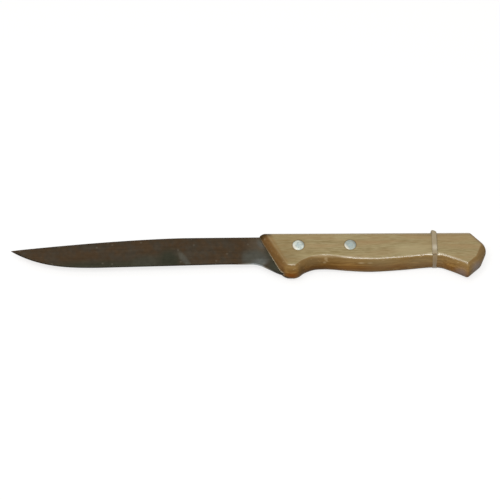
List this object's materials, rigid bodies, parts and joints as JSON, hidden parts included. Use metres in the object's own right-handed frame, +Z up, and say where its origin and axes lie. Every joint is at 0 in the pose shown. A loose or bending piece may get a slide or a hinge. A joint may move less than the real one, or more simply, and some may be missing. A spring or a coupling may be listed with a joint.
{
  "type": "kitchen utility knife",
  "caption": "Fixed-blade kitchen utility knife: slim ground steel blade with flared heel and half tang, sculpted beech handle held by flush rivets, elastic band round the handle's waist.",
  "frame": {"origin": "on the surface that the knife lies on, under the middle of its box", "axes": "+X from the point of the blade to the butt of the handle, +Y from the edge to the back, +Z up through the thickness"},
  "size_m": [0.2848, 0.0292, 0.0169],
  "materials": {
    "steel": "satin ground along its length, lightly tarnished",
    "beech": "sanded and clear lacquered",
    "rivet": "ground flush and buffed",
    "band": "smooth translucent"
  },
  "bodies": {
    "root": {"blade": "steel", "handle": "beech", "front_rivet_sleeve": "rivet", "front_rivet_pin": "rivet", "rear_rivet_sleeve": "rivet", "rear_rivet_pin": "rivet", "elastic_band": "band"}
  },
  "joints": []
}
